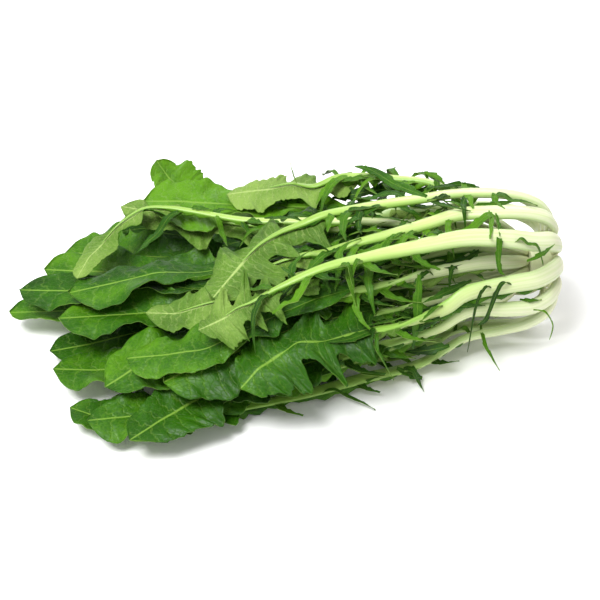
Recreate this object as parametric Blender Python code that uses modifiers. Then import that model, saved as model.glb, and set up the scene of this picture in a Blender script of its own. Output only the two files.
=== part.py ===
# Catalogna chicory, one whole head lying on its side, cut crown towards +X and leaf tips towards -X
# Lengths in the constants are millimetres and angles are degrees
import math
import random

import bmesh
import bpy
import numpy as np
from mathutils import Vector

MM = 0.001
SEED = 7

# The whole head
AXIS_HEIGHT = 64.6
CENTRE_SHIFT = Vector((-8.83, -1.17, 0.0))

# The crown: a short stub with the cut face at its end
CROWN_START = 203.0
CROWN_END = 226.0
CROWN_RADIUS = 23.9
CROWN_SIDES = 16
CROWN_BEVEL = 2.0

# Where the leaves of each ring leave the crown: distance along the head and from its axis
OUTER_RING = ((221.0, 24.5), (222.0, 36.0), (210.0, 51.0), (184.0, 59.0), (152.0, 60.0))
SECOND_RING = ((201.2, 17.0), (189.0, 28.0), (172.0, 38.0), (150.0, 43.0))
THIRD_RING = ((202.1, 7.5), (190.0, 12.0), (174.0, 18.0), (150.0, 23.0))

# The outer ribs leave the crown closer together towards the front and fan out over the first points
# of their ring: their angles in the ring, at the crown, and how much of the crown's angle each point has
FAN_ANGLES = (15, 47, 74, 100, 130, 163, 193, 223, 250, 276, 303, 333, 375)
CROWN_ANGLES = (14, 44, 70, 96, 122, 148, 174, 201, 229, 258, 288, 321, 374)
FAN_SHARES = (1.0, 1.0, 0.6, 0.1, 0.0)

# Ribs: width and thickness as shares of the leaf's own rib width, from the crown to the tip
ROOT_STATIONS = (0.0, 13.0, 28.0, 46.0, 70.0, 104.0)
STEM_STATIONS = 4
BLADE_SPANS = 6
RIB_SIDES = 6
RIB_FLATNESS = 0.64
RIB_UNDERSIDE = 0.87
RIB_TAPER = (
    (0.0, 0.66), (0.03, 1.0), (0.07, 1.14), (0.16, 1.06), (0.25, 0.98),
    (0.45, 0.84), (0.7, 0.5), (0.9, 0.24), (1.0, 0.15),
)
RIB_END = 0.93

# Where along the head a leaf stops facing outwards: first its ring angle and then straight up or down
FAN_END = 140.0
FAN_RUN = 40.0
TWIST_START = 150.0
TWIST_RUN = 110.0
LEAN_FROM = 200.0
LEAN = Vector((0.5, 0.0, 0.0))

# Blades
BLADE_COLUMNS = (-1.0, -0.5, 0.0, 0.5, 1.0)
BLADE_THICKNESS = 0.8
BLADE_GAP = 1.1
BLADE_ALLOWANCE = 0.6
TOOTHED_LOBES = (0.1, 0.34, 0.86, 0.5, 0.36, 1.0, 0.62, 0.44, 1.0, 0.9, 0.78, 0.56, 0.12)
ROUNDED_LOBES = (0.1, 0.34, 0.62, 0.4, 0.36, 0.74, 0.5, 0.5, 0.8, 0.98, 1.0, 0.84, 0.36)
LOBE_SWEEP = 0.42
LOBE_CHANGE = 0.18
WAVE_HEIGHT = 2.6
WAVE_REACH = 20.0
WAVE_TURN = 1.9
SIDE_SLOPE = 0.42
LYING_GAP = 5.5
LEVEL_REACH = 5.0
RIB_REACH = 7.0

# Narrow leaflets along the ribs
LEAFLET_LENGTH = 42.0
LEAFLET_WIDTH = 7.6
LEAFLET_THICKNESS = 0.9
LEAFLET_ALLOWANCE = 0.7
LEAFLET_SHAPE = (0.8, 1.0, 0.8, 0.12)
LEAFLET_STEPS = len(LEAFLET_SHAPE)
LEAFLET_START = 0.5
LEAFLET_OFFSET = 0.3
LEAFLET_ROOT = 0.35
LEAFLET_CHANGE = (0.6, 1.3)
LEAFLET_OUT = 0.8
LEAFLET_TURN = 0.25
LEAFLET_BACK = 0.55
LEAFLET_ARCH = 3.0
LEAFLET_DROOP = 4.0
LEAFLET_HIGHEST_LIFT = 9.0

# The pile that the leaves are laid on, from the lowest leaf to the highest
CELL = 2.5
PILE_X = (-290.0, 260.0)
PILE_Y = (-200.0, 220.0)
CLEARANCE = 0.7
PRESSED_FLAT = 1.5
SAMPLE_STEP = 1.6
FREE_BEYOND = 165.0
STILL_BEYOND = 212.0
SETTLE_FROM = 60.0
SETTLE_RUN = 120.0
SETTLE_GAP = 5.0
SETTLE_SHARE = 0.4
RAISE_ROUNDS = 2
LIFT_SPREADS = 6
LIFT_FADE = 0.96

# One row for each leaf, from the lowest in the pile to the highest: its ring, its angle round the
# crown from the back over the top, which side of the blade the rib is on (1 above, -1 below), rib
# width, blade length and half width, how many leaflets, the slopes of the blade's front and back
# halves (up from the rib where above 0), and the places that the rib passes on to its tip
LEAVES = (
    ("01", OUTER_RING, 276, -1, 15.0, 180, 32, 2, (-0.3, -0.3),
     ((100, -8, -3), (0, -14, 1), (-150, -10, 1))),
    ("02", OUTER_RING, 250, -1, 15.0, 155, 32, 2, (-0.3, -0.3),
     ((100, -42, -3), (0, -58, 1), (-112, -66, 1))),
    ("03", OUTER_RING, 303, -1, 15.0, 170, 34, 2, (-0.3, -0.3), ((95, 28, -4), (0, 44, 1), (-140, 62, 1))),
    ("04", OUTER_RING, 333, -1, 15.0, 170, 34, 2, (-0.3, 0.3), ((100, 58, 14), (0, 86, 1), (-118, 122, 1))),
    ("05", OUTER_RING, 223, -1, 15.0, 145, 29, 5, (0.1, 0.2),
     ((130, -66, 16), (105, -66, 10), (-15, -97, 6), (-128, -112, 6), (-182, -100, 14))),
    ("06", SECOND_RING, 290, -1, 11.0, 200, 29, 2, (0.0, 0.0), ((100, 8, 24), (0, 8, 22), (-205, -30, 14))),
    ("07", SECOND_RING, 256, -1, 11.0, 200, 29, 2, (0.1, -0.2),
     ((100, -25, 26), (0, -38, 24), (-130, -60, 18), (-198, -62, 24))),
    ("08", SECOND_RING, 227, -1, 11.0, 190, 24, 5, (-0.3, 0.1),
     ((110, -56, 34), (10, -84, 22), (-90, -110, 16), (-166, -122, 20))),
    ("09", SECOND_RING, 335, -1, 11.0, 210, 29, 2, (-0.2, 0.3),
     ((100, 30, 42), (0, 54, 34), (-120, 78, 36), (-200, 84, 46))),
    ("10", THIRD_RING, 288, -1, 8.5, 210, 22, 2, (0.2, 0.2), ((100, 5, 42), (0, 4, 42), (-244, 16, 24))),
    ("11", OUTER_RING, 193, -1, 15.0, 180, 38, 7, (-0.1, 0.3),
     ((136, -60, 36), (102, -66, 22), (4, -84, 12), (-70, -104, 8), (-131, -150, 5))),
    ("12", SECOND_RING, 199, -1, 11.0, 215, 31, 5, (0.0, 0.1),
     ((100, -38, 46), (0, -58, 40), (-110, -76, 38), (-152, -96, 26))),
    ("13", THIRD_RING, 216, -1, 8.5, 225, 27, 4, (0.1, 0.0),
     ((100, -14, 52), (0, -28, 50), (-194, -24, 40))),
    ("14", THIRD_RING, 0, -1, 8.5, 225, 27, 4, (-0.1, 0.1),
     ((100, 18, 58), (0, 28, 54), (-140, 50, 44), (-216, 58, 42))),
    ("15", OUTER_RING, 15, -1, 15.0, 150, 27, 4, (-0.42, 0.5),
     ((100, 78, 62), (0, 108, 46), (-74, 116, 76), (-115, 148, 134))),
    ("16", SECOND_RING, 12, 1, 11.0, 205, 30, 4, (-0.4, -0.2),
     ((100, 36, 72), (0, 62, 66), (-146, 98, 62))),
    ("17", THIRD_RING, 155, -1, 8.5, 230, 23, 4, (-0.1, 0.1),
     ((100, -14, 68), (0, -20, 66), (-150, 6, 52), (-232, 20, 40))),
    ("18", THIRD_RING, 60, -1, 8.5, 230, 26, 4, (0.1, -0.2), ((100, 6, 76), (0, 12, 74), (-186, -4, 50))),
    ("19", SECOND_RING, 171, -1, 11.0, 185, 31, 5, (-0.4, 0.0),
     ((100, -50, 62), (0, -74, 56), (-104, -108, 26))),
    ("20", OUTER_RING, 163, -1, 15.0, 125, 38, 7, (-0.42, -0.1),
     ((110, -71, 62), (27, -92, 54), (-6, -100, 50), (-44, -124, 20))),
    ("21", THIRD_RING, 108, -1, 8.5, 98, 24, 4, (-0.3, -0.3),
     ((110, -14, 84), (60, -26, 76), (20, -44, 66), (-10, -62, 56))),
    ("22", SECOND_RING, 143, -1, 11.0, 190, 24, 6, (-0.1, -0.3),
     ((94, -45, 86), (6, -66, 74), (-69, -90, 56), (-134, -84, 50))),
    ("23", SECOND_RING, 40, -1, 11.0, 185, 30, 6, (-0.3, 0.2),
     ((100, 44, 88), (0, 72, 80), (-70, 90, 76), (-124, 92, 74))),
    ("24", SECOND_RING, 68, 1, 11.0, 140, 16, 6, (-0.3, -0.3),
     ((100, 22, 92), (0, 42, 86), (-134, 74, 62), (-180, 10, 46))),
    ("25", SECOND_RING, 115, 1, 11.0, 150, 28, 6, (-0.42, -0.42),
     ((119, -16, 101), (6, -42, 84), (-62, -46, 72), (-119, -46, 62))),
    ("26", OUTER_RING, 47, 1, 15.0, 120, 34, 7, (-0.42, -0.2),
     ((122, 54, 112), (60, 80, 102), (0, 84, 92), (-50, 92, 80))),
    ("27", OUTER_RING, 100, 1, 15.0, 90, 25, 7, (-0.42, -0.42),
     ((138, -6, 119), (72, -21, 109), (-9, -29, 92), (-60, -24, 78))),
    ("28", OUTER_RING, 74, 1, 15.0, 120, 38, 7, (-0.42, -0.42),
     ((120, 18, 117), (47, 8, 108), (-20, -12, 94), (-64, -56, 74))),
    ("29", OUTER_RING, 130, 1, 16.0, 70, 27, 7, (-0.42, -0.42),
     ((84, -48, 103), (6, -62, 92), (-76, -90, 68))),
)


def clearScene():
    for item in list(bpy.data.objects):
        bpy.data.objects.remove(item, do_unlink=True)


def makeCollection(name):
    made = bpy.data.collections.new(name)
    bpy.context.scene.collection.children.link(made)
    return made


def makeMaterial(name, colour, roughness):
    material = bpy.data.materials.new(name)
    material.use_nodes = True
    shader = material.node_tree.nodes["Principled BSDF"]
    shader.inputs["Base Color"].default_value = (*colour, 1.0)
    shader.inputs["Roughness"].default_value = roughness
    return material


def crownMaterial():
    return makeMaterial("crown", (0.72, 0.66, 0.45), 0.6)


def ribMaterial():
    return makeMaterial("rib", (0.70, 0.80, 0.42), 0.4)


def bladeMaterial():
    return makeMaterial("blade", (0.06, 0.22, 0.02), 0.5)


def share(table, place):
    return float(np.interp(place, [row[0] for row in table], [row[1] for row in table]))


# The pile is a height for each small square of the table, which only ever rises
class Pile:
    def __init__(self):
        rows = int((PILE_X[1] - PILE_X[0]) / CELL)
        columns = int((PILE_Y[1] - PILE_Y[0]) / CELL)
        self.top = np.full((rows, columns), -CLEARANCE - PRESSED_FLAT)
        self.near = self.top.copy()

    def cells(self, points):
        rows = ((points[:, 0] - PILE_X[0]) / CELL).astype(int)
        columns = ((points[:, 1] - PILE_Y[0]) / CELL).astype(int)
        return np.clip(rows, 1, self.top.shape[0] - 2), np.clip(columns, 1, self.top.shape[1] - 2)

    def add(self, points):
        rows, columns = self.cells(points)
        np.maximum.at(self.top, (rows, columns), points[:, 2])
        self.near = self.top.copy()
        for across in (-1, 0, 1):
            for along in (-1, 0, 1):
                self.near = np.maximum(self.near, np.roll(self.top, (across, along), (0, 1)))

    def height(self, points):
        rows, columns = self.cells(points)
        return self.near[rows, columns]


# Shares of a triangle's corners for points all over it, about one sampling step apart.
def spreadOver(corners):
    longest = max((corners[i] - corners[i - 1]).length for i in range(3))
    steps = max(int(longest / SAMPLE_STEP), 1)
    return np.array([(i, j, steps - i - j) for i in range(steps + 1) for j in range(steps + 1 - i)]) / steps


def surfacePoints(points, triangles):
    found = []
    for triangle in triangles:
        corners = [points[i] for i in triangle]
        found.append(spreadOver(corners) @ np.array([tuple(corner) for corner in corners]))
    return np.concatenate(found)


# How far each point must rise for the whole surface to clear the pile. The corners of a triangle
# share the lift by how near they are to what lies under it. A held one rises only for what is near it.
def liftsNeeded(pile, points, triangles, below, held=()):
    needed = np.zeros(len(points))
    for triangle in triangles:
        corners = [points[i] for i in triangle]
        shares = spreadOver(corners)
        samples = shares @ np.array([tuple(corner) for corner in corners])
        short = pile.height(samples) + below - samples[:, 2]
        short[samples[:, 0] > FREE_BEYOND] = 0.0
        if not held:
            for i in triangle:
                needed[i] = max(needed[i], short.max())
            continue
        isHeld = np.array([i in held for i in triangle])
        near = shares[:, isHeld].sum(axis=1) > 0.5
        heldShort = np.where(near, short, 0.0).max()
        counted = shares * ~isHeld
        total = np.maximum((counted ** 2).sum(axis=1), 0.01)
        lifts = np.where(near, 0.0, short / total)[:, None] * counted
        for k, i in enumerate(triangle):
            needed[i] = max(needed[i], heldShort if isHeld[k] else lifts[:, k].max())
    return needed


# A point on the smooth curve through the given points, place running from 0 to their count less 1.
def curvePoint(points, place):
    i = min(int(place), len(points) - 2)
    t = place - i
    before = points[max(i - 1, 0)]
    after = points[min(i + 2, len(points) - 1)]
    start, end = points[i], points[i + 1]
    return 0.5 * (
        2 * start
        + (end - before) * t
        + (2 * before - 5 * start + 4 * end - after) * t * t
        + (3 * start - before - 3 * end + after) * t * t * t
    )


# The line of the rib, as points close together at the crown and two blade rows apart at the blade,
# with the share of the whole length at each.
def leafSpine(ring, angle, places, bladeLength):
    points = []
    for (x, r), fan in zip(ring, FAN_SHARES):
        atCrown = np.interp(angle, FAN_ANGLES, CROWN_ANGLES) if ring is OUTER_RING else angle
        turn = math.radians(angle + (atCrown - angle) * fan)
        points.append(Vector((x, r * math.cos(turn), AXIS_HEIGHT + r * math.sin(turn))))
    points += [Vector(place) for place in places]
    steps = 40 * len(points)
    fine = [curvePoint(points, (len(points) - 1) * i / steps) for i in range(steps + 1)]
    run = np.cumsum([0.0] + [(fine[i + 1] - fine[i]).length for i in range(steps)])
    start = run[-1] - bladeLength
    stem = np.linspace(ROOT_STATIONS[-1], start, STEM_STATIONS + 1)[1:]
    blade = np.linspace(start, run[-1], BLADE_SPANS + 1)[1:]
    wanted = np.concatenate((ROOT_STATIONS, stem, blade))
    axes = [np.interp(wanted, run, [p[k] for p in fine]) for k in range(3)]
    return [Vector(p) for p in zip(*axes)], wanted / run[-1]


def directions(spine):
    found = []
    for i in range(len(spine)):
        step = spine[min(i + 1, len(spine) - 1)] - spine[max(i - 1, 0)]
        found.append(step.normalized())
    return found


# Away from the head's axis at the crown, turning to straight up or down where the blade is.
def outwardNormals(spine, angle, face):
    turn = math.radians(angle)
    ringwise = Vector((0.0, math.cos(turn), math.sin(turn)))
    found = []
    for point, along in zip(spine, directions(spine)):
        radial = Vector((0.0, point.y, point.z - AXIS_HEIGHT)).normalized()
        radial = ringwise.lerp(radial, min(max((point.x - FAN_END) / FAN_RUN, 0.0), 1.0))
        blend = min(max((TWIST_START - point.x) / TWIST_RUN, 0.0), 1.0)
        wanted = radial.lerp(Vector((0.0, 0.0, face)), blend * blend * (3 - 2 * blend))
        if point.x > LEAN_FROM:
            wanted = wanted + LEAN
        found.append((wanted - along * wanted.dot(along)).normalized())
    return found


# Rings of points round the spine, flat side out. The weight of the head presses the lowest flat.
def ribGrid(spine, normals, halfWidths, flatten=False):
    grid = []
    for point, along, normal, half in zip(spine, directions(spine), normals, halfWidths):
        side = along.cross(normal).normalized()
        ring = []
        for k in range(RIB_SIDES):
            turn = 2 * math.pi * k / RIB_SIDES
            out = normal * RIB_FLATNESS * math.sin(turn)
            ring.append(point + half * (side * math.cos(turn) + out))
            if flatten:
                ring[-1].z = max(ring[-1].z, 0.0)
        grid.append(ring)
    return grid


def tubeFaces(rings, sides):
    faces = []
    for i in range(rings - 1):
        for k in range(sides):
            a, b = i * sides + k, i * sides + (k + 1) % sides
            faces += [(a, b, a + sides), (b, b + sides, a + sides)]
    return faces


def gridFaces(rows, columns):
    faces = []
    for i in range(rows - 1):
        for k in range(columns - 1):
            a = i * columns + k
            faces += [(a, a + 1, a + columns), (a + 1, a + columns + 1, a + columns)]
    return faces


# Spreads the lifts along the leaf so that it bends gently, never lower than what is needed.
def smoothLifts(lifts):
    lifts = np.array(lifts)
    for _ in range(LIFT_SPREADS):
        padded = np.pad(lifts, 1, mode="edge")
        lifts = np.maximum(lifts, (padded[:-2] + padded[2:]) / 2 * LIFT_FADE)
    return lifts


# Lifts the stations, less and less towards the crown, where the rib stays put.
def raiseSpine(spine, lifts):
    for point, lift in zip(spine, smoothLifts(lifts)):
        point.z += lift * min(max((STILL_BEYOND - point.x) / (STILL_BEYOND - FREE_BEYOND), 0.0), 1.0)


# Lets the free part of a leaf sink towards the pile under it.
def settle(pile, spine):
    for point in spine:
        free = min(max((SETTLE_FROM - point.x) / SETTLE_RUN, 0.0), 1.0) * SETTLE_SHARE
        under = pile.height(np.array([tuple(point)]))[0] + SETTLE_GAP
        if under < point.z:
            point.z += (under - point.z) * free


def liftSpine(pile, spine, normals, halfWidths, below):
    grid = ribGrid(spine, normals, halfWidths)
    points = [point for ring in grid for point in ring]
    needed = liftsNeeded(pile, points, tubeFaces(len(grid), RIB_SIDES), below)
    stations = needed.reshape(len(grid), RIB_SIDES).max(axis=1)
    raiseSpine(spine, stations)


# The blade as rows of points across the leaf, and for each point how far it is from the rib.
def bladeGrid(spine, normals, halfWidths, leaf, draw):
    length, halfBlade = leaf[5], leaf[6]
    lobes = TOOTHED_LOBES if leaf[1] is OUTER_RING or leaf[3] > 0 else ROUNDED_LOBES
    first = len(spine) - 1 - BLADE_SPANS
    span = length / BLADE_SPANS
    phase = draw.uniform(0, 2 * math.pi)
    sizes = {side: [1 + draw.uniform(-LOBE_CHANGE, LOBE_CHANGE) for _ in lobes] for side in (-1, 1)}
    rows, reach = [], []
    last = len(spine) - 1
    for i, step in enumerate(lobes):
        place = first + i / 2
        row, far = [], []
        for column in BLADE_COLUMNS:
            side = 1 if column > 0 else -1
            wide = halfBlade * step * (sizes[side][i] if column else 1)
            away = abs(column) * wide
            back = max(place - LOBE_SWEEP * away / span, 0.0)
            k = min(int(back), last - 1)
            t = back - k
            centre = spine[k].lerp(spine[k + 1], t)
            along = (spine[k + 1] - spine[k]).normalized()
            normal = normals[k].lerp(normals[k + 1], t)
            half = halfWidths[k] + (halfWidths[k + 1] - halfWidths[k]) * t
            across = along.cross(normal).normalized()
            wave = WAVE_HEIGHT * math.sin(phase + i * WAVE_TURN + side) * (away / WAVE_REACH) ** 2
            underside = half * RIB_FLATNESS * RIB_UNDERSIDE
            drop = normal * (underside + BLADE_GAP + BLADE_THICKNESS / 2)
            row.append(centre - drop + across * side * away + Vector((0, 0, wave)))
            far.append(away)
        rows.append(row)
        reach.append(far)
    return rows, reach


# Sinks or raises the sides of the blade, then lifts what would pass through the pile.
def drapeBlade(pile, rows, reach, leaf):
    face, slopes = leaf[3], leaf[8]
    middle = len(BLADE_COLUMNS) // 2
    for row, far in zip(rows, reach):
        for k, (point, away) in enumerate(zip(row, far)):
            if k == middle:
                continue
            front = (k > middle) == (face < 0)
            rise = slopes[0 if front else 1] * max(away - LEVEL_REACH, 0.0)
            under = pile.height(np.array([tuple(point)]))[0] + LYING_GAP
            point.z = point.z + rise if rise > 0 else max(min(point.z, under), row[middle].z + rise)
    points = [point for row in rows for point in row]
    held = set(range(middle, len(points), len(BLADE_COLUMNS)))
    faces = gridFaces(len(rows), len(BLADE_COLUMNS))
    lifts = liftsNeeded(pile, points, faces, CLEARANCE + BLADE_ALLOWANCE, held)
    return lifts.reshape(len(rows), len(BLADE_COLUMNS))


def objectFrom(name, points, faces, collection, material):
    mesh = bpy.data.meshes.new(name)
    mesh.from_pydata([tuple((p - CENTRE_SHIFT) * MM) for p in points], [], faces)
    made = bpy.data.objects.new(name, mesh)
    collection.objects.link(made)
    if material:
        mesh.materials.append(material)
    return made


def faceOutwards(item):
    shape = bmesh.new()
    shape.from_mesh(item.data)
    bmesh.ops.recalc_face_normals(shape, faces=shape.faces)
    shape.to_mesh(item.data)
    shape.free()


def applyModifiers(item):
    graph = bpy.context.evaluated_depsgraph_get()
    mesh = bpy.data.meshes.new_from_object(item.evaluated_get(graph))
    item.modifiers.clear()
    item.data = mesh


def thicken(item, thickness):
    modifier = item.modifiers.new("Thickness", "SOLIDIFY")
    modifier.thickness = thickness * MM
    modifier.offset = 0.0
    applyModifiers(item)
    faceOutwards(item)


def tubeObject(name, grid, collection, material):
    sides = len(grid[0])
    faces = tubeFaces(len(grid), sides)
    faces.append(tuple(range(sides)))
    faces.append(tuple((len(grid) - 1) * sides + k for k in range(sides)))
    made = objectFrom(name, [p for ring in grid for p in ring], faces, collection, material)
    faceOutwards(made)
    return made


# A narrow strap that leaves the rib sideways and points back towards the crown.
def leafletPoints(pile, centre, along, across, length):
    rows = []
    for i in range(LEAFLET_STEPS):
        t = i / (LEAFLET_STEPS - 1)
        half = LEAFLET_WIDTH / 2 * LEAFLET_SHAPE[i]
        out = length * t * (LEAFLET_OUT - LEAFLET_TURN * t)
        middle = centre + across * out - along * length * t * t * LEAFLET_BACK
        middle.z += LEAFLET_ARCH * t * (1 - t) - LEAFLET_DROOP * t * t
        rows.append([middle - along * half, middle + along * half])
    points = [p for row in rows for p in row]
    needed = liftsNeeded(pile, points, gridFaces(LEAFLET_STEPS, 2), CLEARANCE + LEAFLET_ALLOWANCE)
    return rows, needed.reshape(-1, 2).max(axis=1)


def leaflets(pile, spine, normals, halfWidths, leaf, draw, helpers):
    made = []
    first = len(ROOT_STATIONS) - 1
    for n in range(leaf[7]):
        place = first + LEAFLET_START + (STEM_STATIONS - LEAFLET_START) * (n + LEAFLET_OFFSET) / leaf[7]
        k = int(place)
        centre = spine[k].lerp(spine[k + 1], place - k)
        along = (spine[k + 1] - spine[k]).normalized()
        side = 1 if (n + int(leaf[0])) % 2 else -1
        across = along.cross(normals[k]).normalized() * side
        across.z = min(across.z, 0.0)
        length = LEAFLET_LENGTH * draw.uniform(*LEAFLET_CHANGE)
        root = centre + across * halfWidths[k] * LEAFLET_ROOT
        rows, lifts = leafletPoints(pile, root, along, across, length)
        if lifts[1:].max() > LEAFLET_HIGHEST_LIFT:
            continue
        for row, lift in zip(rows[1:], lifts[1:]):
            for point in row:
                point.z = max(point.z + lift, LEAFLET_THICKNESS)
        points = [point for row in rows for point in row]
        strap = objectFrom("strap", points, gridFaces(LEAFLET_STEPS, 2), helpers, None)
        thicken(strap, LEAFLET_THICKNESS)
        made.append((strap, points))
    return made


# Drops the loose scraps that a join can leave.
def keepLargest(item):
    shape = bmesh.new()
    shape.from_mesh(item.data)
    unseen, bodies = set(shape.verts), []
    while unseen:
        body, edge = set(), [unseen.pop()]
        while edge:
            vertex = edge.pop()
            body.add(vertex)
            for other in (link.other_vert(vertex) for link in vertex.link_edges):
                if other in unseen:
                    unseen.discard(other)
                    edge.append(other)
        bodies.append(body)
    bodies.sort(key=len)
    for body in bodies[:-1]:
        bmesh.ops.delete(shape, geom=list(body), context="VERTS")
    shape.to_mesh(item.data)
    shape.free()


def joinInto(item, helpers):
    modifier = item.modifiers.new("Join", "BOOLEAN")
    modifier.operation = "UNION"
    modifier.operand_type = "COLLECTION"
    modifier.collection = helpers
    modifier.solver = "MANIFOLD"
    applyModifiers(item)
    for helper in list(helpers.objects):
        bpy.data.objects.remove(helper, do_unlink=True)
    keepLargest(item)


# Raises the rib where the middle of the blade, or too steep a side of it, needs it.
def raiseStations(spine, rowNeeds):
    first = len(spine) - 1 - BLADE_SPANS
    padded = np.pad(rowNeeds, 1)
    wanted = np.zeros(len(spine))
    for j in range(BLADE_SPANS + 1):
        wanted[first + j] = padded[2 * j:2 * j + 3].max()
    raiseSpine(spine, wanted)


def makeLeaf(leaf, pile, collection, helpers, materials):
    name, ring, angle, face, ribWidth, bladeLength = leaf[:6]
    spine, shares = leafSpine(ring, angle, leaf[9], bladeLength)
    settle(pile, spine)
    halfWidths = [ribWidth / 2 * share(RIB_TAPER, place) for place in shares]
    normals = outwardNormals(spine, angle, face)
    liftSpine(pile, spine, normals, halfWidths, CLEARANCE)
    for _ in range(RAISE_ROUNDS):
        rows, reach = bladeGrid(spine, normals, halfWidths, leaf, random.Random(SEED * 100 + int(name)))
        lifts = drapeBlade(pile, rows, reach, leaf)
        allowed = np.maximum(np.array(reach) - RIB_REACH, 0) * SIDE_SLOPE
        raiseStations(spine, np.maximum(lifts - allowed, 0).max(axis=1))
        normals = outwardNormals(spine, angle, face)
    draw = random.Random(SEED * 100 + int(name))
    rows, reach = bladeGrid(spine, normals, halfWidths, leaf, draw)
    lifts = drapeBlade(pile, rows, reach, leaf)
    middle = len(BLADE_COLUMNS) // 2
    for row, rowLifts in zip(rows, lifts):
        for k, lift in enumerate(rowLifts):
            row[k].z += 0.0 if k == middle else lift
            row[k].z = max(row[k].z, BLADE_THICKNESS)
    straps = leaflets(pile, spine, normals, halfWidths, leaf, draw, helpers)
    ribStations = [i for i, place in enumerate(shares) if place <= RIB_END]
    grid = ribGrid([spine[i] for i in ribStations], [normals[i] for i in ribStations],
                   [halfWidths[i] for i in ribStations], flatten=True)
    rib = tubeObject(f"leaf_{name}_rib", grid, collection, materials["rib"])
    if straps:
        joinInto(rib, helpers)
    flat = [p for row in rows for p in row]
    blade = objectFrom(f"leaf_{name}_blade", flat, gridFaces(len(rows), len(BLADE_COLUMNS)),
                       collection, materials["blade"])
    thicken(blade, BLADE_THICKNESS)
    up = np.array((0.0, 0.0, BLADE_ALLOWANCE))
    pile.add(surfacePoints([p for ring in grid for p in ring], tubeFaces(len(grid), RIB_SIDES)))
    pile.add(surfacePoints(flat, gridFaces(len(rows), len(BLADE_COLUMNS))) + up)
    for _, points in straps:
        pile.add(surfacePoints(points, gridFaces(LEAFLET_STEPS, 2)) + up)


def makeCrown(collection, material):
    length = (CROWN_END - CROWN_START) * MM
    shape = bmesh.new()
    bmesh.ops.create_cone(shape, cap_ends=True, segments=CROWN_SIDES, radius1=CROWN_RADIUS * MM,
                          radius2=CROWN_RADIUS * MM, depth=length)
    mesh = bpy.data.meshes.new("crown")
    shape.to_mesh(mesh)
    shape.free()
    made = bpy.data.objects.new("crown", mesh)
    collection.objects.link(made)
    mesh.materials.append(material)
    made.rotation_euler = (0.0, math.radians(90.0), 0.0)
    middle = Vector(((CROWN_START + CROWN_END) / 2, 0.0, AXIS_HEIGHT)) - CENTRE_SHIFT
    made.location = middle * MM
    bevel = made.modifiers.new("Soft rim", "BEVEL")
    bevel.width = CROWN_BEVEL * MM
    bevel.segments = 1
    bevel.limit_method = "ANGLE"


def main():
    clearScene()
    collection = makeCollection("catalogna_chicory")
    helpers = makeCollection("helpers")
    helpers.hide_render = True
    materials = {"crown": crownMaterial(), "rib": ribMaterial(), "blade": bladeMaterial()}
    makeCrown(collection, materials["crown"])
    pile = Pile()
    for leaf in LEAVES:
        makeLeaf(leaf, pile, collection, helpers, materials)


main()
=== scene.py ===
import math
import random

import bmesh
import bpy
import numpy as np
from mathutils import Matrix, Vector, noise


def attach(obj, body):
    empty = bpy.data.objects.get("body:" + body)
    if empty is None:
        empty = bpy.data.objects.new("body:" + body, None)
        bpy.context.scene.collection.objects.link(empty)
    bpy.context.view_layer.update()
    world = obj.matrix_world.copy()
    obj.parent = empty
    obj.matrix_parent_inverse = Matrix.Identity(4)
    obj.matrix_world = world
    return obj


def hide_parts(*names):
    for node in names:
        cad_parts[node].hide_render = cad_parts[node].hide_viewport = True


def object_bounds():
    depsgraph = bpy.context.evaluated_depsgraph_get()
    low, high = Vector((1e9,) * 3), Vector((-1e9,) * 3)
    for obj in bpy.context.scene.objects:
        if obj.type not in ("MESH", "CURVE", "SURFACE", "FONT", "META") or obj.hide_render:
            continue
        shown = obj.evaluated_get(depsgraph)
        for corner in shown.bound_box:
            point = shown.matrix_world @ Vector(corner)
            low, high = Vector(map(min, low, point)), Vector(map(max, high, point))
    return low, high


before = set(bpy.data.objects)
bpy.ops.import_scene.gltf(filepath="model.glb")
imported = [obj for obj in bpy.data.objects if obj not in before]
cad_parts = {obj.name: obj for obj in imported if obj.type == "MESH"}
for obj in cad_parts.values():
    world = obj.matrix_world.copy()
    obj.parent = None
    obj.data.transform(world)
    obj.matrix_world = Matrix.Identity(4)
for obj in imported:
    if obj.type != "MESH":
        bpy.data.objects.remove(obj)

cadLow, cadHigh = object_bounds()
mm = 0.001

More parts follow.
